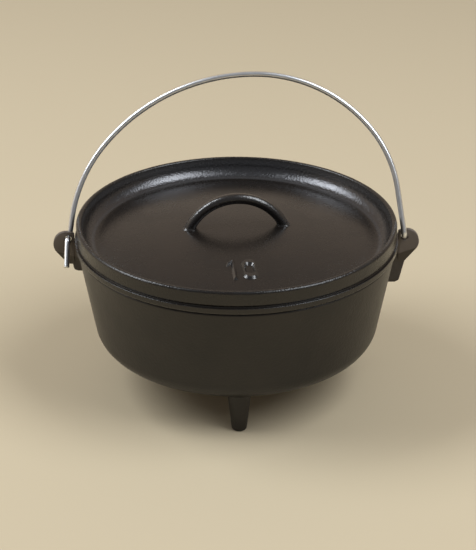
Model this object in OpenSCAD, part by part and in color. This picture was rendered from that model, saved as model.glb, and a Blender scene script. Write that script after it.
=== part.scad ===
// Camp dutch oven: a cast-iron kettle on three legs, a flanged lid that holds coals,
// and a wire bail hooked through two cast ears.
// Millimetres. The oven stands on z = 0 with its axis on Z; the ears are on +X and -X.

/* [Kettle] */
// Outer radius at the rim
kettle_rim_r = 141; // [110:0.5:180]
// How much the wall's outer radius narrows from the rim to the underside
kettle_taper = 16.5; // [6:0.5:30]
// Height from the underside to the rim
kettle_h = 93.8; // [60:0.1:160]
// Outer radius of the rounded bottom corner
kettle_corner_r = 20; // [8:0.5:35]
// Thickness of the wall
kettle_wall = 5; // [3:0.1:9]
// Thickness of the floor
kettle_floor = 5; // [3:0.1:9]
// Inner radius of the bottom corner
kettle_inner_corner_r = 15; // [4:0.5:30]

/* [Legs] */
// Height of the kettle's underside over the ground
leg_h = 37.5; // [20:0.5:70]
// Distance of the legs' middles inside the foot of the kettle's wall
leg_inset = 20.5; // [14:0.5:40]
// Radius of a leg at the kettle's underside
leg_root_r = 10.5; // [7:0.25:16]
// Radius of a leg at the ground, before its edge is rounded
leg_tip_r = 6.5; // [4:0.25:12]
// Rounding of a leg's lower edge
leg_tip_round = 2; // [0.5:0.1:3.5]

/* [Lid] */
// How far the flange stands out past the kettle's rim
lid_flange_out = 2; // [0:0.5:6]
// Height of the flange
lid_flange_h = 6; // [4:0.1:12]
// Rounding of the flange's lower edge
lid_flange_round = 2.5; // [0.5:0.1:3.5]
// Step from the flange in to the upright band
lid_band_step = 1.6; // [0.8:0.1:3]
// Radius of the cove between flange and band
lid_cove_r = 3.5; // [2:0.1:6]
// Height of the rim over the seat
lid_rim_h = 20.4; // [14:0.1:40]
// Thickness of the rim at its top
lid_rim_t = 3.4; // [2:0.1:6]
// Rounding of the rim's outer edge
lid_rim_round = 1.2; // [0.3:0.1:1.6]
// Draft of the rim's inner side, in degrees from upright
lid_rim_draft = 13; // [3:0.5:25]
// Fillet between the rim's inner side and the plate
lid_fillet_r = 8; // [4:0.5:14]
// Height of the domed plate's middle over the seat
lid_crown_h = 12.4; // [8:0.1:18]
// Rise of the domed plate from the rim's inner edge to its middle
lid_dome_rise = 11.8; // [6:0.1:14]
// Thickness of the plate
lid_plate_t = 4.5; // [3:0.1:8]
// Slope of the spigot under the plate, in degrees from level
lid_spigot_slope = 30; // [15:1:34]
// Play between the spigot and the kettle's mouth
lid_play = 1.3; // [0.5:0.1:3]
// Gap under the seat, so that castings don't share a face
lid_seat_gap = 0.3; // [0.1:0.05:0.6]
// Turn of the lid on the kettle as it lies, in degrees
lid_turn = 3; // [-30:0.5:30]

/* [Lid handle] */
// Outer radius of the arch
handle_r = 50.3; // [35:0.1:70]
// Height of the arch over the plate's middle
handle_rise = 30; // [20:0.5:50]
// Thickness of the bar along the arch's radius
handle_t = 7.3; // [5:0.1:12]
// Width of the bar across the arch
handle_w = 10; // [6:0.1:18]
// Rounding of the bar's edges
handle_round = 2.4; // [0.5:0.1:3]

/* [Size number] */
// Height of the figures
number_h = 30; // [15:0.5:40]
// Width of the nought
number_zero_w = 13; // [9:0.5:18]
// Width of a stroke
number_stroke = 3.8; // [2:0.1:5]
// Reach of the flag at the top of the one
number_flag = 4; // [1:0.5:6]
// Space between the one and the nought
number_gap = 5; // [3:0.5:12]
// Distance from the lid's middle to the middle of the figures
number_out = 79; // [70:0.5:90]
// Height of the figures over the plate
number_raise = 1.3; // [0.5:0.1:3]

/* [Ears] */
// Thickness of an ear's head
ear_t = 7; // [5:0.1:10]
// Thickness of the stem under the head
ear_stem_t = 5.4; // [4:0.1:8]
// Radius of the ear's round head
ear_head_r = 14; // [11:0.1:18]
// Drop of the head's centre below the hole
ear_head_drop = 8.4; // [5:0.1:12]
// How far the head's centre lies inside the hole's
ear_head_in = 2.2; // [0:0.1:5]
// Slope of the cut under the head, from upright
ear_flank_a = 38; // [25:1:50]
// Radius of the hole for the bail
ear_hole_r = 3.8; // [3.4:0.1:6]
// Depth of the flare on each side of the hole
ear_flare = 1.2; // [0.5:0.1:2]
// Metal between the hole and the side that faces the lid
ear_web = 1.6; // [1.5:0.1:5]
// Height of the hole over the kettle's rim
ear_hole_up = 2.7; // [0:0.1:6]
// Gap between an ear and the lid's flange
ear_lid_gap = 0.6; // [0.4:0.1:2]
// Depth of the waist under the head, below the kettle's rim
ear_waist_drop = 21.3; // [18:0.1:26]
// Depth of the right ear's root, below the kettle's rim
right_root_drop = 39.8; // [30:0.1:60]
// How far the right ear's root stands out from the kettle's wall
right_root_out = 9.4; // [5:0.1:12]
// Depth of the left ear's root, which is cast shorter
left_root_drop = 27.5; // [25:0.1:60]
// How far the left ear's root stands out from the kettle's wall
left_root_out = 7.5; // [5:0.1:12]

/* [Bail] */
// Radius of the wire
bail_wire_r = 2.4; // [1.5:0.1:3.4]
// Height of the arch over the ear holes, along the wire's own plane
bail_h = 143.4; // [110:0.5:260]
// Sideways place of the arch's top, which hand bending leaves off the middle
bail_top_off = 16.5; // [-30:0.5:30]
// Angle that each side of the crown turns through
bail_crown_a = 50; // [25:1:60]
// Straight length of the left leg
bail_left_leg = 12.5; // [5:1:45]
// Straight length of the right leg
bail_right_leg = 38; // [5:1:45]
// Lean of each leg toward the middle, in degrees
bail_leg_lean = 8.6; // [3:0.1:15]
// Bend radius of the hooks, on the wire's centre line
bail_hook_r = 4.6; // [3.5:0.1:5.5]
// Length of the straight tail under each hook
bail_tail = 22.6; // [10:1:40]
// Lean of the standing bail, where it rests on its stops, in degrees
bail_lean = 20; // [10:1:25]
// Clearance between the wire and the ears at the stops
bail_gap = 0.4; // [0.3:0.05:1]

/* [Hidden] */
$fn = 96;
iron = [0.21, 0.18, 0.16];
iron_light = [0.27, 0.235, 0.21];
zinc = [0.74, 0.75, 0.76];
eps = 1;

kettle_foot_r = kettle_rim_r - kettle_taper;
kettle_draft = atan(kettle_taper / kettle_h);
kettle_rim_z = leg_h + kettle_h;
kettle_mouth_r = kettle_rim_r - kettle_wall / cos(kettle_draft);
leg_circle_r = kettle_foot_r - leg_inset;
leg_slope = atan((leg_root_r - leg_tip_r) / leg_h);
leg_angles = [270, 150, 30];

lid_seat_z = kettle_rim_z + lid_seat_gap;
lid_top_z = lid_seat_z + lid_rim_h;
lid_flange_r = kettle_rim_r + lid_flange_out;
lid_band_r = lid_flange_r - lid_band_step;
lid_tray_r = lid_band_r - lid_rim_t;
lid_crown_z = lid_seat_z + lid_crown_h;
lid_dome_r = (pow(lid_tray_r, 2) + pow(lid_dome_rise, 2)) / (2 * lid_dome_rise);
lid_dome_z = lid_crown_z - lid_dome_r;
lid_seat_r = kettle_mouth_r - lid_play;
lid_cove_h = sqrt(pow(lid_cove_r, 2) - pow(lid_cove_r - lid_band_step, 2));
lid_cove_z = lid_seat_z + lid_flange_h + lid_cove_h;
// The fillet's centre lies one fillet radius inside the rim's inner side and over the dome.
rim_down = [-sin(lid_rim_draft), -cos(lid_rim_draft)];
rim_in = [-cos(lid_rim_draft), sin(lid_rim_draft)];
rim_top = [lid_tray_r, lid_top_z];
fillet_from = rim_top + lid_fillet_r * rim_in - [0, lid_dome_z];
fillet_run = -fillet_from * rim_down - sqrt(pow(fillet_from * rim_down, 2)
    - fillet_from * fillet_from + pow(lid_dome_r + lid_fillet_r, 2));
fillet_wall = rim_top + fillet_run * rim_down;
fillet_c = fillet_wall + lid_fillet_r * rim_in;
fillet_plate = [0, lid_dome_z] + (fillet_c - [0, lid_dome_z]) * lid_dome_r / (lid_dome_r + lid_fillet_r);
lid_under_z = fillet_c[1] - lid_fillet_r - lid_plate_t;
lid_spigot_r = lid_seat_r - (lid_seat_z - lid_under_z) / tan(lid_spigot_slope);

handle_z = lid_crown_z + handle_rise - handle_r;

ear_in_r = lid_flange_r + ear_lid_gap;
ear_hole_x = ear_in_r + ear_web + ear_hole_r;
ear_hole_z = kettle_rim_z + ear_hole_up;
ear_head_z = ear_hole_z - ear_head_drop;
ear_head_x = ear_hole_x - ear_head_in;
ear_top_h = ear_head_r - ear_head_drop;
ear_waist_z = kettle_rim_z - ear_waist_drop;
// The block under the head overlaps it by ear_lap, and the stem starts a little inside the block's corner.
ear_lap = 3;
ear_stem_in = 0.8;

// The wire stands off the ear's middle just enough to lean by bail_lean both ways.
hook_off = ear_t / 2 * cos(bail_lean) + ear_top_h * sin(bail_lean) + bail_wire_r + bail_gap;
hook_span = sqrt(pow(ear_hole_x, 2) - pow(hook_off, 2));
hook_yaw = asin(hook_off / ear_hole_x);
// Each tail is splayed just enough for its end to clear the ear at the stops.
tail_reach = ear_t / 2 + bail_wire_r + bail_gap - (hook_off - bail_hook_r) * cos(bail_lean)
    + bail_hook_r * sin(bail_lean);
tail_splay = bail_lean + atan2(bail_tail, bail_hook_r) - acos(tail_reach / norm([bail_tail, bail_hook_r]));
leg_turn = 90 - bail_leg_lean;
// Sides of the swept wire, and the widest turn from ring to ring in the arch and in the hooks.
wire_sides = 16;
arch_step = 5;
hook_step = 15;
leg_end = [hook_span - bail_hook_r * sin(bail_leg_lean), bail_hook_r * cos(bail_leg_lean)];

// Width and height that the crown and shoulder arcs of one side have to span.
function arc_span(off, leg) = [
    leg_end[0] - off - leg * cos(leg_turn),
    bail_h - leg_end[1] - leg * sin(leg_turn)
];
arc_det = sin(leg_turn - bail_crown_a) - sin(leg_turn) + sin(bail_crown_a);
function crown_r(off, leg) = (arc_span(off, leg)[0] * (cos(bail_crown_a) - cos(leg_turn))
    - arc_span(off, leg)[1] * (sin(leg_turn) - sin(bail_crown_a))) / arc_det;
function shoulder_r(off, leg) = (arc_span(off, leg)[1] * sin(bail_crown_a)
    - arc_span(off, leg)[0] * (1 - cos(bail_crown_a))) / arc_det;

function unit(v) = v / norm(v);
// The part of v that stands square to along, with length 1.
function square_to(v, along) = unit(v - (v * along) * along);
// Angles after from, up to and with to, in even steps no wider than step.
function arc_steps(from, to, step) = let(count = ceil((to - from) / step))
    [for (i = [1:count]) from + (to - from) * i / count];

// Centre line of the right half, from the top of the arch through the ear to the end of the tail.
function bail_half(off, leg) = let(
    crown = crown_r(off, leg),
    shoulder = shoulder_r(off, leg),
    crown_c = [off, 0, bail_h - crown],
    shoulder_c = crown_c + (crown - shoulder) * [sin(bail_crown_a), 0, cos(bail_crown_a)],
    down = [sin(bail_leg_lean), 0, -cos(bail_leg_lean)],
    leg_foot = [leg_end[0], 0, leg_end[1]],
    tail_bend = [hook_span, 2 * hook_off - bail_hook_r, 0],
    tail_top = tail_bend + bail_hook_r * [0, cos(tail_splay), sin(tail_splay) - 1]
) concat(
    [[off, 0, bail_h]],
    [for (a = arc_steps(0, bail_crown_a, arch_step)) crown_c + crown * [sin(a), 0, cos(a)]],
    [for (a = arc_steps(bail_crown_a, leg_turn, arch_step)) shoulder_c + shoulder * [sin(a), 0, cos(a)]],
    [leg_foot],
    [for (a = arc_steps(0, 90, hook_step)) leg_foot + bail_hook_r * (sin(a) * down + [0, 1 - cos(a), 0])],
    [tail_bend],
    [for (a = arc_steps(0, 90 - tail_splay, hook_step)) tail_bend + bail_hook_r * [0, sin(a), cos(a) - 1]],
    [tail_top + bail_tail * [0, sin(tail_splay), -cos(tail_splay)]]
);

// The whole wire from the left tail to the right one. Both hooks are bent the same way, so the
// left half is a right half turned about Z. The arch lies within arch_rings of its top.
right_half = bail_half(bail_top_off, bail_right_leg);
left_half = [for (p = bail_half(-bail_top_off, bail_left_leg)) [-p[0], -p[1], p[2]]];
bail_path = concat([for (i = [len(left_half) - 1:-1:1]) left_half[i]], right_half);
bail_top = len(left_half) - 1;
arch_rings = ceil(bail_crown_a / arch_step) + ceil((leg_turn - bail_crown_a) / arch_step);
// Each ring of the wire stands square to the path, turned as little as possible from the last one.
path_end = len(bail_path) - 1;
wire_along = [for (i = [0:path_end]) unit(bail_path[min(i + 1, path_end)] - bail_path[max(i - 1, 0)])];
wire_side = [for (i = 0, v = square_to([0, 1, 0], wire_along[0]); i <= path_end;
    i = i + 1, v = square_to(v, wire_along[min(i, path_end)])) v];

function wire_point(i, turn) = bail_path[i]
    + bail_wire_r * (cos(turn) * wire_side[i] + sin(turn) * cross(wire_along[i], wire_side[i]));

// Half section of a cup: straight wall at a slope, level floor at z0, rounded corner.
module cup_section(foot_r, slope, z0, z1, round_r) {
    corner = [foot_r + round_r * tan(slope) - round_r / cos(slope), z0 + round_r];
    polygon([
        [0, z0],
        [corner[0], z0],
        corner + round_r * [cos(slope), -sin(slope)],
        [foot_r + (z1 - z0) * tan(slope), z1],
        [0, z1]
    ]);
    intersection() {
        translate(corner) circle(r = round_r);
        translate([0, z0 - eps]) square([foot_r + round_r, round_r * 2]);
    }
}

module kettle_outside() {
    cup_section(kettle_foot_r, kettle_draft, leg_h, kettle_rim_z, kettle_corner_r);
}

module kettle() {
    inner_foot_r = kettle_foot_r - kettle_wall / cos(kettle_draft) + kettle_floor * tan(kettle_draft);
    color(iron) rotate_extrude() difference() {
        kettle_outside();
        cup_section(inner_foot_r, kettle_draft, leg_h + kettle_floor, kettle_rim_z + eps,
            kettle_inner_corner_r);
    }
}

module leg(i) {
    color(iron) difference() {
        rotate([0, 0, leg_angles[i]]) translate([leg_circle_r, 0, 0]) rotate_extrude()
            cup_section(leg_tip_r, leg_slope, 0, leg_h + kettle_corner_r, leg_tip_round);
        rotate_extrude() kettle_outside();
    }
}

module front_leg() { leg(0); }
module left_leg() { leg(1); }
module right_leg() { leg(2); }

// Upright slab with the given outline in X and Z, centred on the XZ plane.
module slab(thick, outline) {
    translate([0, thick / 2, 0]) rotate([90, 0, 0]) linear_extrude(thick) polygon(outline);
}

// Head of the right ear down to its waist: a round fin, cut off along the flank.
module ear_head() {
    flank = [sin(ear_flank_a), cos(ear_flank_a)];
    waist = [ear_hole_x, ear_waist_z];
    low = waist - ear_head_r * flank;
    high = waist + 3 * ear_head_r * flank;
    lap_z = ear_head_z - ear_lap;
    difference() {
        union() {
            translate([ear_head_x, ear_t / 2, ear_head_z]) rotate([90, 0, 0]) cylinder(r = ear_head_r, h = ear_t);
            slab(ear_t, [
                [kettle_foot_r, ear_waist_z],
                waist + [ear_lap, 0],
                [ear_hole_x + ear_lap + (lap_z - ear_waist_z) * tan(ear_flank_a), lap_z],
                [kettle_foot_r, lap_z]
            ]);
        }
        slab(2 * ear_t, [low, high, [high[0] + ear_head_r, high[1]], [high[0] + ear_head_r, low[1]]]);
    }
}

// Right ear: a fin in the XZ plane with a round head, and a thinner stem down the wall to its root.
module ear(root_drop, root_out) {
    root_x = kettle_rim_r - root_drop * tan(kettle_draft) + root_out;
    stem_x = ear_hole_x - ear_stem_in;
    color(iron) difference() {
        union() {
            ear_head();
            slab(ear_stem_t, [
                [kettle_foot_r, kettle_rim_z - root_drop],
                [root_x, kettle_rim_z - root_drop],
                [stem_x, ear_waist_z],
                [stem_x, ear_waist_z + ear_lap],
                [kettle_foot_r, ear_waist_z + ear_lap]
            ]);
        }
        rotate_extrude() kettle_outside();
        translate([0, -ear_t, kettle_rim_z - ear_lid_gap]) cube([ear_in_r, 2 * ear_t, 2 * ear_head_r]);
        translate([ear_hole_x, 0, ear_hole_z]) rotate([90, 0, 0]) {
            cylinder(r = ear_hole_r, h = 2 * ear_t, center = true);
            for (side = [0, 180]) rotate([side, 0, 0]) translate([0, 0, ear_t / 2 - ear_flare])
                cylinder(r1 = ear_hole_r, r2 = ear_hole_r + 2 * ear_flare, h = 2 * ear_flare);
        }
    }
}

module right_ear() { ear(right_root_drop, right_root_out); }
module left_ear() { mirror([1, 0, 0]) ear(left_root_drop, left_root_out); }

// Outside of the lid from the spigot round the flange and up the band.
module lid_blank() {
    difference() {
        union() {
            polygon([
                [0, lid_under_z],
                [lid_spigot_r, lid_under_z],
                [lid_seat_r, lid_seat_z],
                [lid_flange_r - lid_flange_round, lid_seat_z],
                [lid_flange_r, lid_seat_z + lid_flange_round],
                [lid_flange_r, lid_seat_z + lid_flange_h],
                [lid_band_r, lid_cove_z],
                [lid_band_r, lid_top_z - lid_rim_round],
                [lid_band_r - lid_rim_round, lid_top_z],
                [0, lid_top_z]
            ]);
            translate([lid_flange_r - lid_flange_round, lid_seat_z + lid_flange_round])
                circle(r = lid_flange_round);
            translate([lid_band_r - lid_rim_round, lid_top_z - lid_rim_round])
                circle(r = lid_rim_round);
        }
        translate([lid_band_r + lid_cove_r, lid_cove_z]) circle(r = lid_cove_r);
    }
}

// Coal tray: inside the rim and over the dome, with the fillet between them.
module lid_tray() {
    difference() {
        polygon([
            [0, lid_seat_z],
            [fillet_c[0], lid_seat_z],
            fillet_plate,
            fillet_wall,
            rim_top,
            rim_top - rim_down * eps,
            [0, lid_top_z + eps]
        ]);
        translate([0, lid_dome_z]) circle(r = lid_dome_r, $fn = 720);
    }
    translate(fillet_c) circle(r = lid_fillet_r);
}

module lid() {
    color(iron) rotate_extrude() intersection() {
        difference() {
            lid_blank();
            lid_tray();
            translate([0, lid_dome_z]) circle(r = lid_dome_r - lid_plate_t, $fn = 720);
        }
        translate([0, lid_under_z - eps]) square([lid_flange_r + eps, lid_rim_h * 2]);
    }
}

// The plate's dome out to the fillet, raised by lift.
module dome(lift) {
    rotate_extrude() intersection() {
        translate([0, lid_dome_z]) circle(r = lid_dome_r + lift, $fn = 720);
        translate([0, lid_under_z]) square([fillet_plate[0], lid_rim_h * 2]);
    }
}

module rounded_bar(w, h, r) {
    square([w - 2 * r, h], center = true);
    square([w, h - 2 * r], center = true);
    for (x = [-1, 1], y = [-1, 1]) translate([x * (w / 2 - r), y * (h / 2 - r)]) circle(r = r);
}

module lid_handle() {
    color(iron_light) rotate([0, 0, lid_turn]) difference() {
        translate([0, 0, handle_z]) rotate([90, 0, 0]) rotate_extrude()
            translate([handle_r - handle_t / 2, 0]) rounded_bar(handle_t, handle_w, handle_round);
        dome(0);
        translate([-2 * handle_r, -handle_w, lid_under_z + eps - 4 * handle_r])
            cube([4 * handle_r, 2 * handle_w, 4 * handle_r]);
    }
}

module slot(w, h) {
    square([w, h - w], center = true);
    for (y = [-1, 1]) translate([0, y * (h - w) / 2]) circle(r = w / 2);
}

module number_outline() {
    total_w = number_flag + number_stroke + number_gap + number_zero_w;
    translate([number_flag - total_w / 2, 0]) polygon([
        [0, -number_h / 2],
        [number_stroke, -number_h / 2],
        [number_stroke, number_h / 2],
        [0, number_h / 2],
        [-number_flag, number_h / 2 - number_flag],
        [-number_flag, number_h / 2 - number_flag - number_stroke],
        [0, number_h / 2 - number_stroke]
    ]);
    translate([(total_w - number_zero_w) / 2, 0]) difference() {
        slot(number_zero_w, number_h);
        slot(number_zero_w - 2 * number_stroke, number_h - 2 * number_stroke);
    }
}

module lid_number() {
    color(iron_light) rotate([0, 0, lid_turn]) difference() {
        intersection() {
            translate([0, -number_out, lid_seat_z]) linear_extrude(lid_rim_h) number_outline();
            dome(number_raise);
        }
        dome(0);
    }
}

// Wire swept from one ring of the bail's path to another, where it leans on its stops.
module wire(first, last) {
    rings = last - first;
    color(zinc) translate([0, 0, ear_hole_z]) rotate([-bail_lean, 0, 0]) rotate([0, 0, -hook_yaw])
        polyhedron(
            points = [for (i = [first:last], k = [0:wire_sides - 1]) wire_point(i, k * 360 / wire_sides)],
            faces = concat(
                [[for (k = [wire_sides - 1:-1:0]) k]],
                [for (i = [0:rings - 1], k = [0:wire_sides - 1])
                    let(at = i * wire_sides, next = (k + 1) % wire_sides)
                    [at + k, at + next, at + wire_sides + next, at + wire_sides + k]],
                [[for (k = [0:wire_sides - 1]) rings * wire_sides + k]]
            )
        );
}

module left_hook() { wire(0, bail_top - arch_rings); }
module bail() { wire(bail_top - arch_rings, bail_top + arch_rings); }
module right_hook() { wire(bail_top + arch_rings, path_end); }

kettle();
front_leg();
left_leg();
right_leg();
left_ear();
right_ear();
lid();
lid_handle();
lid_number();
bail();
left_hook();
right_hook();
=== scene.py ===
from math import acos, asin, atan, atan2, cos, hypot, pi, radians, sin, sqrt, tan

import bmesh
import bpy
from bmesh.types import BMEdge, BMFace, BMVert
from mathutils import Matrix, Vector


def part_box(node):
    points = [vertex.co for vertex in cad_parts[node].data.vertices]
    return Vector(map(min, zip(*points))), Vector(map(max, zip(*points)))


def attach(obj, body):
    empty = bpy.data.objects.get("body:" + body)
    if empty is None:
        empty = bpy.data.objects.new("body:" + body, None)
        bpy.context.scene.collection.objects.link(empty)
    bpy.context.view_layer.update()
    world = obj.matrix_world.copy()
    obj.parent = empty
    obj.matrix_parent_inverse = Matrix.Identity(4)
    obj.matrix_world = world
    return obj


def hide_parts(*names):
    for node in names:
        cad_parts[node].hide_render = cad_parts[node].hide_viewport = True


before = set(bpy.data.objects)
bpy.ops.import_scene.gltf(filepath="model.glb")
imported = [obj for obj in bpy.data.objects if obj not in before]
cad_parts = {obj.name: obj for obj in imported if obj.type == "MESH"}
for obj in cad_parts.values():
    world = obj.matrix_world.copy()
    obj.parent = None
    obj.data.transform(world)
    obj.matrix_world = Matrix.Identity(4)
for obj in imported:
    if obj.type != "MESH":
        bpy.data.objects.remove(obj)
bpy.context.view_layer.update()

MM = 0.001

# Kettle: heights from the frame, the rest as cast
KETTLE_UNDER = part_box("kettle")[0].z
RIM_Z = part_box("kettle")[1].z
RIM_R = 141 * MM
KETTLE_TAPER = 16.5 * MM
KETTLE_CORNER = 20 * MM
KETTLE_WALL = 5 * MM
KETTLE_FLOOR = 5 * MM
KETTLE_INNER_CORNER = 15 * MM
RIM_EDGE = 2 * MM
FOOT_R = RIM_R - KETTLE_TAPER
DRAFT = atan(KETTLE_TAPER / (RIM_Z - KETTLE_UNDER))
MOUTH_R = RIM_R - KETTLE_WALL / cos(DRAFT)

# Legs, each with a skirt that lies a hair inside the kettle's floor
LEG_CIRCLE_R = FOOT_R - 20.5 * MM
LEG_ROOT_R = 10.5 * MM
LEG_TIP_R = 6.5 * MM
LEG_TIP_ROUND = 2 * MM
LEG_FILLET = 4 * MM
LEG_SKIRT_R = LEG_ROOT_R + 2.5 * LEG_FILLET
LEG_SINK = 2 * MM
LEG_BURY = 0.05 * MM
LEG_ANGLES = {"front_leg": 270, "left_leg": 150, "right_leg": 30}

# Lid
LID_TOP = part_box("lid")[1].z
SEAT_Z = RIM_Z + 0.3 * MM
FLANGE_R = RIM_R + 2 * MM
FLANGE_H = 6 * MM
FLANGE_ROUND = 2.5 * MM
FLANGE_LIP = 0.5 * MM
BAND_R = FLANGE_R - 1.6 * MM
COVE_H = 2.4 * MM
COVE_DEPTH = 0.7 * MM
COVE_ROUND = 0.6 * MM
LID_RIM_T = 4.3 * MM
LID_RIM_DRAFT = radians(13)
LID_RIM_OUTER_EDGE = 2.3 * MM
LID_RIM_INNER_EDGE = 1.6 * MM
LID_FILLET = 12 * MM
LID_PLATE_STOP = 1.5 * LID_FILLET
LID_PLATE_T = 4.5 * MM
LID_TURN = radians(4.5)
SPIGOT_SLOPE = radians(30)
SPIGOT_R = MOUTH_R - 1.3 * MM
SPIGOT_LAND = 3 * MM
CROWN_Z = SEAT_Z + 14.4 * MM
TRAY_R = BAND_R - LID_RIM_T
DOME_RISE = 13.8 * MM
DOME_R = (TRAY_R ** 2 + DOME_RISE ** 2) / (2 * DOME_RISE)
DOME_Z = CROWN_Z - DOME_R

# Lid handle
HANDLE_R = 50.3 * MM
HANDLE_T = 9.2 * MM
HANDLE_W = 10 * MM
HANDLE_ROUND = 4.4 * MM
HANDLE_LIFT = 2 * MM
HANDLE_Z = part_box("lid_handle")[1].z + HANDLE_LIFT - HANDLE_R
HANDLE_FILLET = 1.2 * MM
HANDLE_END = radians(19)

# Size number
NUMBER_H = 30 * MM
NUMBER_STROKE = 4.4 * MM
NUMBER_FLAG = 4 * MM
NUMBER_FLAG_H = 1.5 * NUMBER_STROKE
NUMBER_GAP = 4.4 * MM
NUMBER_ZERO_W = 13.4 * MM
NUMBER_EYE_W = 5.4 * MM
NUMBER_EYE_H = 13 * MM
NUMBER_ROUND_SHARE = 0.48
NUMBER_OUT = 79 * MM
NUMBER_ASIDE = -3.4 * MM
NUMBER_RAISE = 1.9 * MM
NUMBER_DRAFT = 1.9 * MM
NUMBER_SINK = 0.2 * MM

# Ears
EAR_T = 7 * MM
EAR_TOP_H = 5.6 * MM
EAR_IN_R = FLANGE_R + 0.6 * MM
EAR_HOLE_X = EAR_IN_R + 5.4 * MM
EAR_HOLE_Z = RIM_Z + 2.7 * MM
EAR_HOLE_R = 2.8 * MM
EAR_MOUTH_R = 4.1 * MM
EAR_HEAD_R = 11.7 * MM
EAR_HEAD_X = EAR_HOLE_X + 1.5 * MM
EAR_HEAD_Z = EAR_HOLE_Z - 4.6 * MM
EAR_FLANK = radians(38)
EAR_WAIST_Z = RIM_Z - 21.3 * MM
EAR_LEDGE_Z = RIM_Z - 0.6 * MM
EAR_EDGE = 0.7 * MM
EAR_EDGE_STRIP = 0.2 * EAR_EDGE
EAR_RIDGE_DROP = 4.8 * MM
EAR_RIDGE_SLOPE = radians(19.5)
EAR_RIDGE_BLEND = 0.5 * MM
EAR_TOP_THIN = 0.09
EAR_LIP_THIN = 0.13
STEM_T = 5.2 * MM
STEM_ROUND = 3 * MM
STEM_EDGE = 1.2 * MM
STEM_EDGE_SHARE = 0.8
STEM_FILLET = 3 * MM
STEM_SHOULDER = 1 * MM
WALL_SINK = 2 * MM
# For each root its drop from the rim, its reach from the wall, and the reach of the stem past the hole
EAR_ROOTS = {"right": (42.6 * MM, 12 * MM, 1.2 * MM), "left": (28.4 * MM, 8.4 * MM, -3 * MM)}

# Bail
WIRE_R = 2.4 * MM
BAIL_H = 143.4 * MM
BAIL_TOP_OFF = 16.5 * MM
BAIL_CROWN = radians(50)
BAIL_LEFT_LEG = 12.5 * MM
BAIL_RIGHT_LEG = 38 * MM
BAIL_LEG_LEAN = radians(8.6)
BAIL_HOOK_R = 4.6 * MM
BAIL_TAIL = 22.6 * MM
BAIL_LEAN = radians(20)
BAIL_GAP = 0.4 * MM
WIRE_END_EDGE = 0.5 * MM

# Fineness of the meshes
SHARP = radians(40)
WELD = 0.001 * MM
SUPPORT = 0.6 * MM
LONG_STRETCH = 4 * SUPPORT
KETTLE_SIDES = 256
LID_SIDES = 320
LEG_SIDES = 64
DOME_STEPS = 20
HANDLE_STEPS = 96
HOLE_SIDES = 40
HEAD_STEPS = 40
STEM_CUTS = 19
WIRE_SIDES = 24
ARCH_STEPS = 30
HOOK_STEPS = 12

# Finishes: tones, scales of the patterns, rings of the lid by distance from its axis, and fades of the
# painted shade on the ears
SEASONED_DARK = (0.0062, 0.0051, 0.0043, 1)
SEASONED_WARM = (0.0112, 0.0084, 0.0066, 1)
OIL = (0.11, 0.11, 0.115, 1)
# Ear tones: the head's face painted pale as reflected light, painted shade below its ridge and on the stem
EAR_LIT_DARK = (0.090, 0.074, 0.062, 1)
EAR_LIT_WARM = (0.142, 0.115, 0.094, 1)
EAR_LIP_SHADE = (0.046, 0.035, 0.024, 1)
STEM_SHADE = (0.046, 0.037, 0.031, 1)
ZINC_DULL = (0.74, 0.76, 0.78, 1)
ZINC_BRIGHT = (0.90, 0.91, 0.92, 1)
IRON_WAVES = 170
IRON_PATCHES = 26
ZINC_WAVES = 260
ZINC_PATCHES = 90
PATCH_CUT = (0.32, 0.68)
LID_CALM = (112 * MM, 128 * MM)
LID_CALM_GRAIN = 0.3
LID_OIL_START = (125 * MM, 129 * MM)
LID_OIL_END = (137 * MM, 135.5 * MM)
RIDGE_SHADE_FADE = (-1 * MM, 0.4 * MM)
WAIST_SHADE_FADE = (-2 * MM, 1 * MM)

# Floor and room: tones, and the stretches of a direction's X, Y or Z over which one gives way to the next
FLOOR_R = 6
FLOOR_TONE = (0.59, 0.50, 0.35, 1)
FLOOR_ROUGH = 0.9
FLOOR_GLOSS = 0.1
FRONT_TONE = (0.19, 0.19, 0.195, 1)
REAR_TONE = (0.48, 0.385, 0.31, 1)
LEFT_WALL_TONE = (0.76, 0.645, 0.53, 1)
RIGHT_WALL_TONE = (0.38, 0.31, 0.24, 1)
FRONT_TO_REAR = (0.15, 0.8)
LEFT_TO_RIGHT = (-0.8, 0.8)
WALL_START = (-0.7, -0.1)
WALL_TOP = (0.45, 0.15)

# Soft boxes
LAMP_AIM = Vector((0, 0, 0.13))
LAMP_AWAY = 2.7
LAMP_W = 1.1
LAMP_COLOUR = (0.92, 0.96, 1.0)

# Camera as fitted to the photograph of 476 by 550 pixels
PHOTO_H = 550
FOCAL_PX = 1700
CAMERA_ELEVATION = radians(27)
CAMERA_AWAY = 1525.4 * MM
CAMERA_AIM = Vector((1.33 * MM, 0, 96.15 * MM))
CAMERA_ROLL = radians(0.14)
OVEN_YAW = radians(1.5)
SENSOR = 36


# Shared shapes

def piece_from(bm, name):
    """Makes an object of a finished mesh, smooth but for its sharp edges."""
    for face in bm.faces:
        face.smooth = True
    for edge in bm.edges:
        edge.smooth = edge.calc_face_angle(0) < SHARP
    mesh = bpy.data.meshes.new(name)
    bm.to_mesh(mesh)
    bm.free()
    made = bpy.data.objects.new(name, mesh)
    bpy.context.scene.collection.objects.link(made)
    return made


def joined(bm, other):
    """Adds one mesh to another."""
    spare = bpy.data.meshes.new("spare")
    other.to_mesh(spare)
    other.free()
    bm.from_mesh(spare)
    bpy.data.meshes.remove(spare)


def only(kind, geom):
    """The vertices, edges or faces among mixed geometry."""
    return [g for g in geom if isinstance(g, kind)]


def whole(bm):
    return bm.verts[:] + bm.edges[:] + bm.faces[:]


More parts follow.
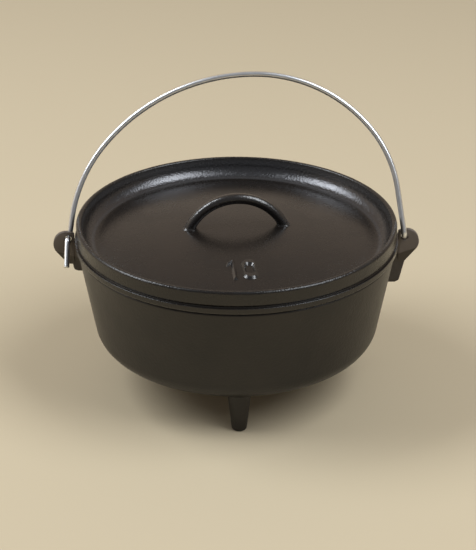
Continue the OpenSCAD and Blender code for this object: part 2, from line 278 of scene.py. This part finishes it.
def rounded(corners, steps):
    """Points of an open outline of (x, z, radius) corners, with an arc at each corner that has a radius."""
    points = []
    for i, (x, z, radius) in enumerate(corners):
        here = Vector((x, z))
        if radius == 0 or i in (0, len(corners) - 1):
            points.append(here)
            continue
        back = (Vector(corners[i - 1][:2]) - here).normalized()
        ahead = (Vector(corners[i + 1][:2]) - here).normalized()
        half = acos(max(-1, min(1, back.dot(ahead)))) / 2
        middle = here + (back + ahead).normalized() * radius / sin(half)
        start = here + back * radius / tan(half) - middle
        end = here + ahead * radius / tan(half) - middle
        sweep = pi - 2 * half
        for k in range(steps + 1):
            t = k / steps
            points.append(middle + (start * sin((1 - t) * sweep) + end * sin(t * sweep)) / sin(sweep))
    return points


def supported(points):
    """Adds a point near each end of every long straight stretch, which keeps its shading flat."""
    out = [points[0]]
    for a, b in zip(points, points[1:]):
        length = (b - a).length
        if length > LONG_STRETCH:
            out += [a + (b - a) * SUPPORT / length, b - (b - a) * SUPPORT / length]
        out.append(b)
    return out


def spun(points, sides):
    """Turns an outline of (radius, height) points round Z."""
    bm = bmesh.new()
    verts = [bm.verts.new((p[0], 0, p[1])) for p in points]
    edges = [bm.edges.new(pair) for pair in zip(verts, verts[1:])]
    bmesh.ops.spin(bm, geom=verts + edges, axis=(0, 0, 1), angle=2 * pi, steps=sides, use_merge=True)
    bmesh.ops.remove_doubles(bm, verts=bm.verts[:], dist=WELD)
    bmesh.ops.recalc_face_normals(bm, faces=bm.faces[:])
    return bm


def round_drop(radius, away):
    """How far a round edge of that radius has dropped at a distance from its end."""
    into = max(0, min(radius, radius - away))
    return radius - sqrt(radius ** 2 - into ** 2)


def slot_loop(bm, middle, width, height, corner, segments):
    """Edges of a flat slot with round corners, and no face, in a mesh that has no face yet."""
    verts = [bm.verts.new((middle + sx * width / 2, sy * height / 2, 0))
             for sx, sy in ((-1, -1), (1, -1), (1, 1), (-1, 1))]
    bm.faces.new(verts)
    bmesh.ops.bevel(bm, geom=verts, offset=corner, offset_type="OFFSET", segments=segments, profile=0.5,
                    affect="VERTICES", material=-1)
    edges = [e for f in bm.faces for e in f.edges]
    bmesh.ops.delete(bm, geom=bm.faces[:], context="FACES_ONLY")
    return edges


# Kettle and legs

def kettle_wall(z):
    """Radius of the kettle's outside at a height."""
    return RIM_R - (RIM_Z - z) * tan(DRAFT)


def underside_rise(r):
    """How far the kettle's underside has risen at a radius, in the round of its corner."""
    corner_r = FOOT_R + KETTLE_CORNER * (tan(DRAFT) - 1 / cos(DRAFT))
    return round_drop(KETTLE_CORNER, corner_r + KETTLE_CORNER - r)


def make_kettle():
    inner_foot = FOOT_R - KETTLE_WALL / cos(DRAFT) + KETTLE_FLOOR * tan(DRAFT)
    floor = KETTLE_UNDER + KETTLE_FLOOR
    corners = [
        (0, KETTLE_UNDER, 0),
        (FOOT_R, KETTLE_UNDER, KETTLE_CORNER),
        (RIM_R, RIM_Z, RIM_EDGE),
        (MOUTH_R, RIM_Z, RIM_EDGE),
        (inner_foot, floor, KETTLE_INNER_CORNER),
        (0, floor, 0),
    ]
    return piece_from(spun(supported(rounded(corners, steps=16)), KETTLE_SIDES), "kettle_shell")


def make_leg(name, angle):
    """A leg whose upper half stretches to follow the kettle's underside."""
    skirt_z = KETTLE_UNDER + LEG_BURY
    corners = [
        (0, 0, 0),
        (LEG_TIP_R, 0, LEG_TIP_ROUND),
        (LEG_ROOT_R, skirt_z, LEG_FILLET),
        (LEG_SKIRT_R, skirt_z, 0),
        (LEG_SKIRT_R, skirt_z + LEG_SINK, 0),
    ]
    bm = spun(supported(rounded(corners, steps=8)), LEG_SIDES)
    place = Matrix.Rotation(radians(angle), 4, "Z") @ Matrix.Translation((LEG_CIRCLE_R, 0, 0))
    bmesh.ops.transform(bm, matrix=place, verts=bm.verts[:])
    for v in bm.verts:
        share = max(0, min(1, 2 * v.co.z / KETTLE_UNDER - 1))
        v.co.z += share * underside_rise(hypot(v.co.x, v.co.y))
    return piece_from(bm, name)


# Lid

def dome_height(r, radius=DOME_R):
    """Height at a distance from the axis of a dome about the same centre as the lid's."""
    return DOME_Z + sqrt(radius ** 2 - r ** 2)


def dome_corners(out, radius=DOME_R):
    """Outline of a dome from the axis to a distance."""
    distances = [out * i / DOME_STEPS for i in range(DOME_STEPS + 1)]
    return [(r, dome_height(r, radius), 0) for r in distances]


def make_lid():
    rim_top = Vector((TRAY_R, LID_TOP))
    rim_down = Vector((-sin(LID_RIM_DRAFT), -cos(LID_RIM_DRAFT)))
    from_dome = rim_top - Vector((0, DOME_Z))
    along = from_dome.dot(rim_down)
    rim_wall = -along - sqrt(along ** 2 - from_dome.dot(from_dome) + DOME_R ** 2)
    corner_r, corner_z = rim_top + rim_down * rim_wall
    flange_z = SEAT_Z + FLANGE_H
    spigot_z = corner_z - LID_PLATE_T
    spigot_r = SPIGOT_R - (SEAT_Z - spigot_z) / tan(SPIGOT_SLOPE)
    plate = dome_corners(corner_r - LID_PLATE_STOP)
    under = dome_corners(spigot_r - SPIGOT_LAND, DOME_R - LID_PLATE_T)
    corners = plate + [
        (corner_r, corner_z, LID_FILLET),
        (TRAY_R, LID_TOP, LID_RIM_INNER_EDGE),
        (BAND_R, LID_TOP, LID_RIM_OUTER_EDGE),
        (BAND_R, flange_z + COVE_H, COVE_ROUND),
        (BAND_R - COVE_DEPTH, flange_z + COVE_DEPTH, COVE_ROUND / 2),
        (BAND_R - COVE_DEPTH / 2, flange_z, 0),
        (FLANGE_R, flange_z, FLANGE_LIP),
        (FLANGE_R, SEAT_Z, FLANGE_ROUND),
        (SPIGOT_R, SEAT_Z, 0),
        (spigot_r, spigot_z, 0),
    ] + under[::-1]
    return piece_from(spun(supported(rounded(corners, steps=10)), LID_SIDES), "lid_shell")


def make_handle():
    """A loop of round-edged bar that flares a little where it meets the plate."""
    bm = bmesh.new()
    middle_r = HANDLE_R - HANDLE_T / 2
    edges = slot_loop(bm, middle_r, HANDLE_T, HANDLE_W, HANDLE_ROUND, segments=6)
    bmesh.ops.rotate(bm, cent=(0, 0, 0), matrix=Matrix.Rotation(-HANDLE_END, 3, "Y"), verts=bm.verts[:])
    bmesh.ops.spin(bm, geom=bm.verts[:] + edges, axis=(0, -1, 0), angle=pi - 2 * HANDLE_END,
                   steps=HANDLE_STEPS)
    bmesh.ops.recalc_face_normals(bm, faces=bm.faces[:])
    for v in bm.verts:
        angle = atan2(v.co.z, v.co.x)
        out = v.co - middle_r * Vector((cos(angle), 0, sin(angle)))
        over = HANDLE_Z + v.co.z - dome_height(hypot(v.co.x, v.co.y))
        v.co += out.normalized() * round_drop(HANDLE_FILLET, over)
    place = Matrix.Translation((0, 0, HANDLE_Z)) @ Matrix.Rotation(LID_TURN, 4, "Z")
    bmesh.ops.transform(bm, matrix=place, verts=bm.verts[:])
    return piece_from(bm, "handle_loop")


def figure_one(bm, left):
    """Flat face of a plain one whose stem starts at left."""
    top = NUMBER_H / 2
    outline = [
        (0, -top),
        (NUMBER_STROKE, -top),
        (NUMBER_STROKE, top),
        (0, top),
        (-NUMBER_FLAG, top - NUMBER_FLAG),
        (-NUMBER_FLAG, top - NUMBER_FLAG - NUMBER_FLAG_H),
        (0, top - NUMBER_FLAG_H),
    ]
    return [bm.faces.new([bm.verts.new((left + x, y, 0)) for x, y in outline])]


def figure_zero(bm, middle):
    """Flat faces of a plain nought."""
    edges = []
    for width, height in ((NUMBER_ZERO_W, NUMBER_H), (NUMBER_EYE_W, NUMBER_EYE_H)):
        edges += slot_loop(bm, middle, width, height, width * NUMBER_ROUND_SHARE, segments=12)
    return bmesh.ops.bridge_loops(bm, edges=edges)["faces"]


def make_number():
    total = NUMBER_FLAG + NUMBER_STROKE + NUMBER_GAP + NUMBER_ZERO_W
    bm = bmesh.new()
    faces = figure_zero(bm, (total - NUMBER_ZERO_W) / 2) + figure_one(bm, NUMBER_FLAG - total / 2)
    bmesh.ops.recalc_face_normals(bm, faces=bm.faces[:])
    for face in faces:
        if face.normal.z < 0:
            face.normal_flip()
    bmesh.ops.inset_region(bm, faces=faces, thickness=NUMBER_DRAFT, depth=NUMBER_RAISE + NUMBER_SINK,
                           use_boundary=True, use_even_offset=True)
    place = Matrix.Rotation(LID_TURN, 4, "Z") @ Matrix.Translation((NUMBER_ASIDE, -NUMBER_OUT, 0))
    bmesh.ops.transform(bm, matrix=place, verts=bm.verts[:])
    for v in bm.verts:
        v.co.z += dome_height(hypot(v.co.x, v.co.y)) - NUMBER_SINK
    return piece_from(bm, "size_number")


# Ears

def head_outline():
    """Outline of an ear's head in X and Z: a round top that runs off along the flank, square to the lid."""
    centre = Vector((EAR_HEAD_X, EAR_HEAD_Z))
    start = acos((EAR_IN_R - EAR_HEAD_X) / EAR_HEAD_R)
    turns = [start - (start + EAR_FLANK) * i / HEAD_STEPS for i in range(HEAD_STEPS + 1)]
    arc = [centre + EAR_HEAD_R * Vector((cos(a), sin(a))) for a in turns]
    waist_x = arc[-1][0] - (arc[-1][1] - EAR_WAIST_Z) * tan(EAR_FLANK)
    return arc + [Vector((waist_x, EAR_WAIST_Z)), Vector((EAR_IN_R, EAR_WAIST_Z))]


def round_over(bm, faces, radius, strip, steps=3):
    """Rounds the border of a flat patch of faces, and leaves a narrow flat strip inside it."""
    turns = [pi / 2 * i / steps for i in range(steps + 1)]
    for a, b in zip(turns, turns[1:]):
        bmesh.ops.inset_region(bm, faces=faces, thickness=radius * (cos(a) - cos(b)),
                               depth=radius * (sin(b) - sin(a)), use_boundary=True, use_even_offset=True)
    bmesh.ops.inset_region(bm, faces=faces, thickness=strip, use_boundary=True, use_even_offset=True)


def ear_head():
    """Head of an ear: thickest at a ridge below the hole, with the hole narrowest in the middle."""
    bm = bmesh.new()
    verts = [bm.verts.new((p[0], 0, p[1])) for p in head_outline()]
    for pair in zip(verts, verts[1:] + verts[:1]):
        bm.edges.new(pair)
    hole = Vector((EAR_HOLE_X, 0, EAR_HOLE_Z))
    place = Matrix.Translation(hole) @ Matrix.Rotation(pi / 2, 4, "X")
    bmesh.ops.create_circle(bm, segments=HOLE_SIDES, radius=EAR_HOLE_R, matrix=place)
    bmesh.ops.triangle_fill(bm, use_beauty=True, edges=bm.edges[:])
    for face in bm.faces:
        if face.normal.y < 0:
            face.normal_flip()
    made = bmesh.ops.extrude_face_region(bm, geom=bm.faces[:])["geom"]
    bmesh.ops.translate(bm, vec=(0, EAR_T / 2 - EAR_EDGE, 0), verts=only(BMVert, made))
    for v in only(BMVert, made):
        if (v.co.xz - hole.xz).length < EAR_MOUTH_R:
            v.co.xz = hole.xz + (v.co.xz - hole.xz) * (EAR_MOUTH_R - EAR_EDGE) / EAR_HOLE_R
    round_over(bm, only(BMFace, made), EAR_EDGE, EAR_EDGE_STRIP)
    ridge = Vector((EAR_HEAD_X + EAR_HEAD_R, 0, EAR_HEAD_Z - EAR_RIDGE_DROP))
    up = Vector((-sin(EAR_RIDGE_SLOPE), 0, cos(EAR_RIDGE_SLOPE)))
    for side in (-1, 0, 1):
        bmesh.ops.bisect_plane(bm, geom=whole(bm), dist=WELD, plane_co=ridge + up * side * EAR_RIDGE_BLEND,
                               plane_no=up)
    for v in bm.verts:
        over = (v.co - ridge).dot(up)
        v.co.y *= 1 - 2 * max(EAR_TOP_THIN * over, -EAR_LIP_THIN * over) / EAR_T
    bmesh.ops.mirror(bm, geom=whole(bm), axis="Y", merge_dist=WELD)
    bmesh.ops.remove_doubles(bm, verts=bm.verts[:], dist=WELD)
    return bm


def ear_stem(root_drop, root_out, top_out):
    """Web under an ear's head, thinner than the head, with a rounded foot and a swelling at the wall."""
    bm = bmesh.new()
    bmesh.ops.create_cube(bm, size=2)
    bmesh.ops.subdivide_edges(bm, edges=bm.edges[:], cuts=STEM_CUTS, use_grid_fill=True)
    low = RIM_Z - root_drop
    root_x = kettle_wall(low) + root_out
    top_x = EAR_HOLE_X + top_out
    for v in bm.verts:
        z = low + (EAR_LEDGE_Z - low) * (v.co.z + 1) / 2
        edge = root_x + (top_x - root_x) * (z - low) / (EAR_WAIST_Z - low)
        shoulder = EAR_IN_R + STEM_SHOULDER + max(0, EAR_HOLE_Z - EAR_MOUTH_R - z)
        edge = min(edge, top_x, EAR_HEAD_X, shoulder) - round_drop(STEM_ROUND, z - low)
        wall = kettle_wall(z)
        x = wall - WALL_SINK + (edge - wall + WALL_SINK) * (v.co.x + 1) / 2
        swell = round_drop(STEM_FILLET, x - wall)
        inset = STEM_EDGE_SHARE * round_drop(STEM_EDGE, min(edge - x, z - low))
        v.co = Vector((x, v.co.y * (STEM_T / 2 + swell - inset), z))
    return bm


def make_ear(side):
    bm = ear_stem(*EAR_ROOTS[side])
    joined(bm, ear_head())
    if side == "left":
        bmesh.ops.scale(bm, vec=(-1, 1, 1), verts=bm.verts[:])
    bmesh.ops.recalc_face_normals(bm, faces=bm.faces[:])
    return piece_from(bm, side + "_ear_cast")


# Bail

def arch_radii(off, leg, leg_end):
    """Radii of the crown and of the shoulder on one side of the arch."""
    turn = pi / 2 - BAIL_LEG_LEAN
    wide = leg_end[0] - off - leg * cos(turn)
    high = BAIL_H - leg_end[1] - leg * sin(turn)
    spread = sin(turn - BAIL_CROWN) - sin(turn) + sin(BAIL_CROWN)
    crown = (wide * (cos(BAIL_CROWN) - cos(turn)) - high * (sin(turn) - sin(BAIL_CROWN))) / spread
    shoulder = (high * sin(BAIL_CROWN) - wide * (1 - cos(BAIL_CROWN))) / spread
    return crown, shoulder


def bend(bm, loop, cent, axis, angle, steps):
    """Turns the wire's last loop about an axis and returns the new last loop."""
    made = bmesh.ops.spin(bm, geom=loop, cent=cent, axis=axis, angle=angle, steps=steps)
    return only((BMVert, BMEdge), made["geom_last"])


def run(bm, loop, step):
    """Draws the wire's last loop out straight and returns the new last loop."""
    made = bmesh.ops.extrude_edge_only(bm, edges=only(BMEdge, loop))["geom"]
    bmesh.ops.translate(bm, vec=step, verts=only(BMVert, made))
    return only((BMVert, BMEdge), made)


def wire_half(off, leg, hook_off, tail_splay):
    """Half of the bail, from the top of the arch through the right ear to the end of the tail."""
    hook_span = sqrt(EAR_HOLE_X ** 2 - hook_off ** 2)
    leg_end = (hook_span - BAIL_HOOK_R * sin(BAIL_LEG_LEAN), BAIL_HOOK_R * cos(BAIL_LEG_LEAN))
    crown, shoulder = arch_radii(off, leg, leg_end)
    crown_c = Vector((off, 0, BAIL_H - crown))
    shoulder_c = crown_c + (crown - shoulder) * Vector((sin(BAIL_CROWN), 0, cos(BAIL_CROWN)))
    down = Vector((sin(BAIL_LEG_LEAN), 0, -cos(BAIL_LEG_LEAN)))
    back = Vector((0, 1, 0))
    hook_c = Vector((leg_end[0], BAIL_HOOK_R, leg_end[1]))
    tail_c = Vector((hook_span, 2 * hook_off - BAIL_HOOK_R, -BAIL_HOOK_R))
    tail = Vector((0, sin(tail_splay), -cos(tail_splay)))
    bm = bmesh.new()
    start = Matrix.Translation((off, 0, BAIL_H)) @ Matrix.Rotation(pi / 2, 4, "Y")
    bmesh.ops.create_circle(bm, segments=WIRE_SIDES, radius=WIRE_R, matrix=start)
    loop = bm.verts[:] + bm.edges[:]
    loop = bend(bm, loop, crown_c, back, BAIL_CROWN, ARCH_STEPS)
    loop = bend(bm, loop, shoulder_c, back, pi / 2 - BAIL_LEG_LEAN - BAIL_CROWN, ARCH_STEPS)
    loop = run(bm, loop, down * leg)
    loop = bend(bm, loop, hook_c, down.cross(back), pi / 2, HOOK_STEPS)
    loop = run(bm, loop, back * 2 * (hook_off - BAIL_HOOK_R))
    loop = bend(bm, loop, tail_c, (-1, 0, 0), pi / 2 - tail_splay, HOOK_STEPS)
    loop = run(bm, loop, tail * (BAIL_TAIL - WIRE_END_EDGE))
    loop = run(bm, loop, tail * WIRE_END_EDGE)
    ends = only(BMVert, loop)
    middle = sum((v.co for v in ends), Vector()) / len(ends)
    shrink = 1 - WIRE_END_EDGE / WIRE_R
    bmesh.ops.scale(bm, vec=(shrink,) * 3, space=Matrix.Translation(-middle), verts=ends)
    bmesh.ops.edgeloop_fill(bm, edges=only(BMEdge, loop))
    return bm


def make_bail():
    room = EAR_T / 2 + WIRE_R + BAIL_GAP
    hook_off = EAR_T / 2 * cos(BAIL_LEAN) + EAR_TOP_H * sin(BAIL_LEAN) + WIRE_R + BAIL_GAP
    reach = room - (hook_off - BAIL_HOOK_R) * cos(BAIL_LEAN) + BAIL_HOOK_R * sin(BAIL_LEAN)
    tail_splay = BAIL_LEAN + atan2(BAIL_TAIL, BAIL_HOOK_R) - acos(reach / hypot(BAIL_TAIL, BAIL_HOOK_R))
    bm = wire_half(-BAIL_TOP_OFF, BAIL_LEFT_LEG, hook_off, tail_splay)
    bmesh.ops.rotate(bm, cent=(0, 0, 0), matrix=Matrix.Rotation(pi, 3, "Z"), verts=bm.verts[:])
    joined(bm, wire_half(BAIL_TOP_OFF, BAIL_RIGHT_LEG, hook_off, tail_splay))
    bmesh.ops.remove_doubles(bm, verts=bm.verts[:], dist=WELD)
    place = (Matrix.Translation((0, 0, EAR_HOLE_Z)) @ Matrix.Rotation(-BAIL_LEAN, 4, "X")
             @ Matrix.Rotation(-asin(hook_off / EAR_HOLE_X), 4, "Z"))
    bmesh.ops.transform(bm, matrix=place, verts=bm.verts[:])
    bmesh.ops.recalc_face_normals(bm, faces=bm.faces[:])
    return piece_from(bm, "bail_wire")


# Finishes

def feed(tree, node, inputs):
    """Gives inputs of a node, by name or number, a plain value or the output of another node."""
    for socket, value in inputs.items():
        if isinstance(value, bpy.types.NodeSocket):
            tree.links.new(value, node.inputs[socket])
        else:
            node.inputs[socket].default_value = value


def add_node(tree, kind, inputs=None, **settings):
    made = tree.nodes.new(kind)
    for name, value in settings.items():
        setattr(made, name, value)
    feed(tree, made, inputs or {})
    return made


def maths(tree, operation, *values):
    made = add_node(tree, "ShaderNodeMath", dict(enumerate(values)), operation=operation)
    return made.outputs["Value"]


def split(tree, where):
    """The X, Y and Z of a place or direction, by name."""
    return add_node(tree, "ShaderNodeSeparateXYZ", {"Vector": where}).outputs


def fade(tree, value, start=0, end=1, low=0, high=1):
    """Goes from low to high while the value goes from start to end."""
    inputs = {"Value": value, "From Min": start, "From Max": end, "To Min": low, "To Max": high}
    return add_node(tree, "ShaderNodeMapRange", inputs).outputs["Result"]


def mixed(tree, factor, first, second):
    """Goes from the first colour to the second. A Mix node has its colours at inputs 6 and 7 and output 2."""
    inputs = {"Factor": factor, 6: first, 7: second}
    return add_node(tree, "ShaderNodeMix", inputs, data_type="RGBA").outputs[2]


def noise(tree, where, scale, detail, roughness=0.5):
    inputs = {"Vector": where, "Scale": scale, "Detail": detail, "Roughness": roughness}
    return add_node(tree, "ShaderNodeTexNoise", inputs).outputs["Fac"]


def bumped(tree, height, depth, strength=1.0):
    inputs = {"Height": height, "Distance": depth, "Strength": strength}
    return add_node(tree, "ShaderNodeBump", inputs).outputs["Normal"]


def cast_skin():
    """Node group for the skin of a sand casting: fine grain, slow waves and patches of seasoning."""
    tree = bpy.data.node_groups.new("cast_skin", "ShaderNodeTree")
    tree.interface.new_socket("Place", in_out="INPUT", socket_type="NodeSocketVector")
    for name in ("Grain Scale", "Wave Scale", "Patch Scale", "Wave Share"):
        tree.interface.new_socket(name, in_out="INPUT", socket_type="NodeSocketFloat")
    for name in ("Height", "Patch", "Polish"):
        tree.interface.new_socket(name, in_out="OUTPUT", socket_type="NodeSocketFloat")
    given = add_node(tree, "NodeGroupInput").outputs
    grain = noise(tree, given["Place"], given["Grain Scale"], detail=1.5)
    wave = noise(tree, given["Place"], given["Wave Scale"], detail=2)
    patch = noise(tree, given["Place"], given["Patch Scale"], detail=4, roughness=0.55)
    patch = fade(tree, patch, *PATCH_CUT)
    height = add_node(tree, "ShaderNodeMix", {"Factor": given["Wave Share"], "A": grain, "B": wave})
    polish = maths(tree, "MULTIPLY", wave, patch)
    add_node(tree, "NodeGroupOutput", {"Height": height.outputs["Result"], "Patch": patch, "Polish": polish})
    return tree


def new_material(name):
    """New material, its tree and its shader."""
    made = bpy.data.materials.new(name)
    made.use_nodes = True
    return made, made.node_tree, made.node_tree.nodes["Principled BSDF"]


def own_place(tree):
    """Object coordinates, which are the oven's own because every piece sits at the origin."""
    return add_node(tree, "ShaderNodeTexCoord").outputs["Object"]


def add_skin(tree, skin, where, grain, waves, patches, wave_share):
    """Puts the cast skin into a material and returns what it gives, by name."""
    inputs = {
        "Place": where,
        "Grain Scale": grain,
        "Wave Scale": waves,
        "Patch Scale": patches,
        "Wave Share": wave_share,
    }
    return add_node(tree, "ShaderNodeGroup", inputs, node_tree=skin).outputs


def axis_distance(tree, where):
    """Distance of each point from the oven's upright axis."""
    axes = split(tree, where)
    flat = add_node(tree, "ShaderNodeCombineXYZ", {"X": axes["X"], "Y": axes["Y"]}).outputs["Vector"]
    return add_node(tree, "ShaderNodeVectorMath", {0: flat}, operation="LENGTH").outputs["Value"]


def seasoned_iron(name, skin, rough, gloss, grain, wave_share, depth, is_lid=False):
    """Seasoned cast iron, black with warm patches. A lid has a smoother plate, and oil in its fillet."""
    made, tree, shader = new_material(name)
    where = own_place(tree)
    cast = add_skin(tree, skin, where, grain, IRON_WAVES, IRON_PATCHES, wave_share)
    colour = mixed(tree, cast["Patch"], SEASONED_DARK, SEASONED_WARM)
    height = cast["Height"]
    if is_lid:
        away = axis_distance(tree, where)
        height = maths(tree, "MULTIPLY", height, fade(tree, away, *LID_CALM, low=LID_CALM_GRAIN))
        oil = maths(tree, "MULTIPLY", fade(tree, away, *LID_OIL_START), fade(tree, away, *LID_OIL_END))
        colour = mixed(tree, oil, colour, OIL)
        feed(tree, shader, {"Metallic": oil})
    feed(tree, shader, {
        "Base Color": colour,
        "Roughness": fade(tree, cast["Polish"], low=rough[1], high=rough[0]),
        "Specular IOR Level": gloss,
        "Normal": bumped(tree, height, depth),
    })
    return made


def painted_ear_iron(name, skin, rough, grain, wave_share, depth):
    """Iron of the ears: the head's face painted pale with reflected light, with painted shade below the ridge
    and on the stem.
    """
    made, tree, shader = new_material(name)
    where = own_place(tree)
    cast = add_skin(tree, skin, where, grain, IRON_WAVES, IRON_PATCHES, wave_share)
    axes = split(tree, where)
    slope = tan(EAR_RIDGE_SLOPE)
    ridge = EAR_HEAD_Z - EAR_RIDGE_DROP - slope * (EAR_HEAD_X + EAR_HEAD_R)
    level = maths(tree, "MULTIPLY_ADD", maths(tree, "ABSOLUTE", axes["X"]), -slope, axes["Z"])
    face = fade(tree, level, ridge + RIDGE_SHADE_FADE[0], ridge + RIDGE_SHADE_FADE[1])
    head = fade(tree, axes["Z"], EAR_WAIST_Z + WAIST_SHADE_FADE[0], EAR_WAIST_Z + WAIST_SHADE_FADE[1])
    # Painted reflected light: the head's face is far paler than the kettle's iron, in random patches
    lit_face = mixed(tree, cast["Patch"], EAR_LIT_DARK, EAR_LIT_WARM)
    # Painted shade on the lip below the ridge
    colour = mixed(tree, face, EAR_LIP_SHADE, lit_face)
    feed(tree, shader, {
        # Painted shade on the stem below the head's waist
        "Base Color": mixed(tree, head, STEM_SHADE, colour),
        "Roughness": fade(tree, cast["Polish"], low=rough[1], high=rough[0]),
        "Normal": bumped(tree, cast["Height"], depth),
    })
    return made


def zinc_wire(name, skin, rough, grain, wave_share, depth, strength):
    """Galvanised wire with a fine spangle."""
    made, tree, shader = new_material(name)
    cast = add_skin(tree, skin, own_place(tree), grain, ZINC_WAVES, ZINC_PATCHES, wave_share)
    feed(tree, shader, {
        "Base Color": mixed(tree, cast["Patch"], ZINC_DULL, ZINC_BRIGHT),
        "Roughness": fade(tree, cast["Polish"], low=rough[1], high=rough[0]),
        "Metallic": 1.0,
        "Normal": bumped(tree, cast["Height"], depth, strength),
    })
    return made


def dress(piece, material, body, slot, *nodes):
    """Gives a piece its finish, the body it rides on and the nodes that it stands for."""
    piece.data.materials.append(material)
    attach(piece, body)
    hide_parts(*nodes)


# Floor, light and camera

def make_floor():
    bm = bmesh.new()
    bmesh.ops.create_circle(bm, cap_ends=True, segments=64, radius=FLOOR_R)
    floor = piece_from(bm, "floor")
    material, tree, shader = new_material("pale_floor")
    feed(tree, shader, {
        "Base Color": FLOOR_TONE,
        "Roughness": FLOOR_ROUGH,
        "Specular IOR Level": FLOOR_GLOSS,
    })
    floor.data.materials.append(material)


def make_room():
    """Dim in front and warm behind, with a low wall round the sides and back, palest on the left."""
    world = bpy.data.worlds.new("room")
    world.use_nodes = True
    bpy.context.scene.world = world
    tree = world.node_tree
    axes = split(tree, add_node(tree, "ShaderNodeTexCoord").outputs["Generated"])
    room = mixed(tree, fade(tree, axes["Y"], *FRONT_TO_REAR), FRONT_TONE, REAR_TONE)
    walls = mixed(tree, fade(tree, axes["X"], *LEFT_TO_RIGHT), LEFT_WALL_TONE, RIGHT_WALL_TONE)
    is_wall = maths(tree, "MULTIPLY", fade(tree, axes["Y"], *WALL_START), fade(tree, axes["Z"], *WALL_TOP))
    feed(tree, tree.nodes["Background"], {"Color": mixed(tree, is_wall, room, walls), "Strength": 1.0})


def seen_at(elevation, azimuth):
    """Place of a lamp that the oven sees at these angles in degrees."""
    up = radians(elevation)
    round_z = radians(azimuth)
    return LAMP_AIM + LAMP_AWAY * Vector((cos(up) * cos(round_z), cos(up) * sin(round_z), sin(up)))


def soft_box(name, low, high, power):
    """Soft box along the line between two places, facing the oven."""
    middle = (low + high) / 2
    back = (middle - LAMP_AIM).normalized()
    along = high - low
    side = along.cross(back).normalized()
    light = bpy.data.lights.new(name, "AREA")
    light.shape = "RECTANGLE"
    light.size = LAMP_W
    light.size_y = along.length
    light.energy = power
    light.color = LAMP_COLOUR
    lamp = bpy.data.objects.new(name, light)
    turn = Matrix((side, back.cross(side), back)).transposed()
    lamp.matrix_world = Matrix.Translation(middle) @ turn.to_4x4()
    bpy.context.scene.collection.objects.link(lamp)


def make_camera():
    turn = Matrix.Rotation(-OVEN_YAW, 3, "Z")
    away = Vector((0, -cos(CAMERA_ELEVATION), sin(CAMERA_ELEVATION))) * CAMERA_AWAY
    place = turn @ (CAMERA_AIM + away)
    look = (turn @ CAMERA_AIM - place).to_track_quat("-Z", "Y").to_matrix()
    look = look @ Matrix.Rotation(CAMERA_ROLL, 3, "Z")
    camera = bpy.data.cameras.new("camera")
    camera.sensor_width = SENSOR
    camera.lens = FOCAL_PX / PHOTO_H * SENSOR
    made = bpy.data.objects.new("camera", camera)
    made.matrix_world = Matrix.Translation(place) @ look.to_4x4()
    bpy.context.scene.collection.objects.link(made)
    bpy.context.scene.camera = made


# The oven

skin = cast_skin()
kettle_iron = seasoned_iron("kettle_iron", skin, rough=(0.30, 0.42), gloss=0.48, grain=480, wave_share=0.3,
                            depth=0.25 * MM)
lid_iron = seasoned_iron("lid_iron", skin, rough=(0.18, 0.30), gloss=0.55, grain=640, wave_share=0.15,
                         depth=0.38 * MM, is_lid=True)
handle_iron = seasoned_iron("handle_iron", skin, rough=(0.15, 0.26), gloss=1.0, grain=640, wave_share=0.15,
                            depth=0.3 * MM)
ear_iron = painted_ear_iron("ear_iron", skin, rough=(0.36, 0.5), grain=420, wave_share=0.4, depth=0.22 * MM)
wire_zinc = zinc_wire("zinc_wire", skin, rough=(0.22, 0.36), grain=1400, wave_share=0.5, depth=0.06 * MM,
                      strength=0.4)

dress(make_kettle(), kettle_iron, "oven", "seasoned_iron", "kettle")
for leg_name, leg_angle in LEG_ANGLES.items():
    dress(make_leg(leg_name + "_cast", leg_angle), kettle_iron, "oven", "seasoned_iron", leg_name)
for ear_side in EAR_ROOTS:
    dress(make_ear(ear_side), ear_iron, "oven", "seasoned_iron", ear_side + "_ear")
dress(make_lid(), lid_iron, "lid", "seasoned_iron", "lid")
dress(make_handle(), handle_iron, "lid", "seasoned_iron", "lid_handle")
dress(make_number(), handle_iron, "lid", "seasoned_iron", "lid_number")
dress(make_bail(), wire_zinc, "bail", "bail_wire", "bail", "left_hook", "right_hook")

make_floor()
make_room()
soft_box("left_soft_box", seen_at(30, 190), seen_at(58, 148), power=47)
soft_box("right_soft_box", seen_at(32, -38), seen_at(68, 14), power=46)
make_camera()
bpy.context.scene.view_settings.view_transform = "Standard"
